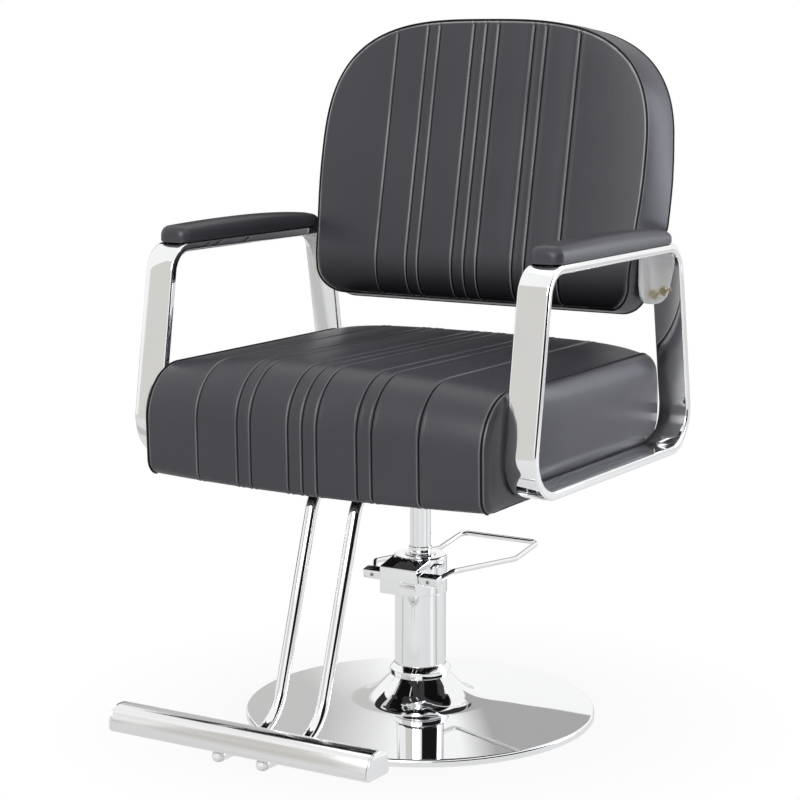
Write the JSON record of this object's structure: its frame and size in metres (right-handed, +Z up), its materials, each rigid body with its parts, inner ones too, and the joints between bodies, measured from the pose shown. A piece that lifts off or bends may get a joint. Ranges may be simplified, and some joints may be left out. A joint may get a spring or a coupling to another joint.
{
  "type": "hairdressing chair",
  "caption": "Padded salon chair with channelled seat and back, chromed flat-bar arms, hydraulic pump base with foot pedal, swivel and a bar footrest.",
  "frame": {"origin": "on the floor, on the axis of the pump column", "axes": "+Z up, -Y the way the chair faces, +X the sitter's left"},
  "size_m": [0.627, 0.7347, 0.9839],
  "materials": {
    "chrome": "mirror polished",
    "bare_steel": "machined",
    "zinc_bolt": "yellow zinc plated",
    "charcoal_leather": "satin, fine grain",
    "black_rubber": "matte",
    "black_plastic": "matte",
    "plywood": "unfinished"
  },
  "bodies": {
    "base": {"floor_pad": "black_rubber", "base_plate": "bare_steel", "base_dome": "chrome", "base_collar": "chrome", "column_flange": "bare_steel", "pump_column": "chrome", "pump_cylinder": "bare_steel", "pump_head": "chrome", "gland_ring": "chrome", "wiper_seal": "black_rubber"},
    "pedal": {"pedal_shaft": "bare_steel", "pedal_hub_left": "chrome", "pedal_hub_right": "chrome", "pedal_loop": "chrome"},
    "lift": {"piston": "bare_steel", "piston_seal": "black_rubber"},
    "seat": {"ram": "chrome", "seat_hub": "bare_steel", "seat_plate": "bare_steel", "seat_board": "plywood", "seat_cushion": "charcoal_leather", "arm_frame_left": "chrome", "arm_frame_right": "chrome", "arm_tab_front_left": "bare_steel", "arm_tab_front_right": "bare_steel", "arm_tab_rear_left": "bare_steel", "arm_tab_rear_right": "bare_steel", "arm_pad_base_left": "black_plastic", "arm_pad_base_right": "black_plastic", "arm_pad_left": "charcoal_leather", "arm_pad_right": "charcoal_leather", "back_cushion": "charcoal_leather", "back_board": "plywood", "back_panel": "charcoal_leather", "back_bracket_left": "chrome", "back_bracket_right": "chrome", "back_bolt_left_1": "zinc_bolt", "back_bolt_left_2": "zinc_bolt", "back_bolt_right_1": "zinc_bolt", "back_bolt_right_2": "zinc_bolt", "footrest_tube_left": "chrome", "footrest_tube_right": "chrome", "footrest_plug_left": "black_plastic", "footrest_plug_right": "black_plastic", "footrest_clamp_1": "bare_steel", "footrest_clamp_2": "bare_steel", "footrest_bar": "chrome", "footrest_cap_left": "chrome", "footrest_cap_right": "chrome"}
  },
  "joints": [
    {"name": "lift_slide", "type": "slide", "parent": "base", "child": "lift", "axis": [0, 0, 1], "range_m": [0, 0.15]},
    {"name": "seat_swivel", "type": "hinge", "parent": "lift", "child": "seat", "pos_m": [0, 0, 0.03], "axis": [0, 0, 1], "continuous": true},
    {"name": "pedal_swing", "type": "hinge", "parent": "base", "child": "pedal", "pos_m": [0, -0.05, 0.2115], "axis": [-1, 0, 0], "range_deg": [0, 25], "stiffness_Nm_per_rad": 2.5, "springref_deg": -34.38}
  ]
}
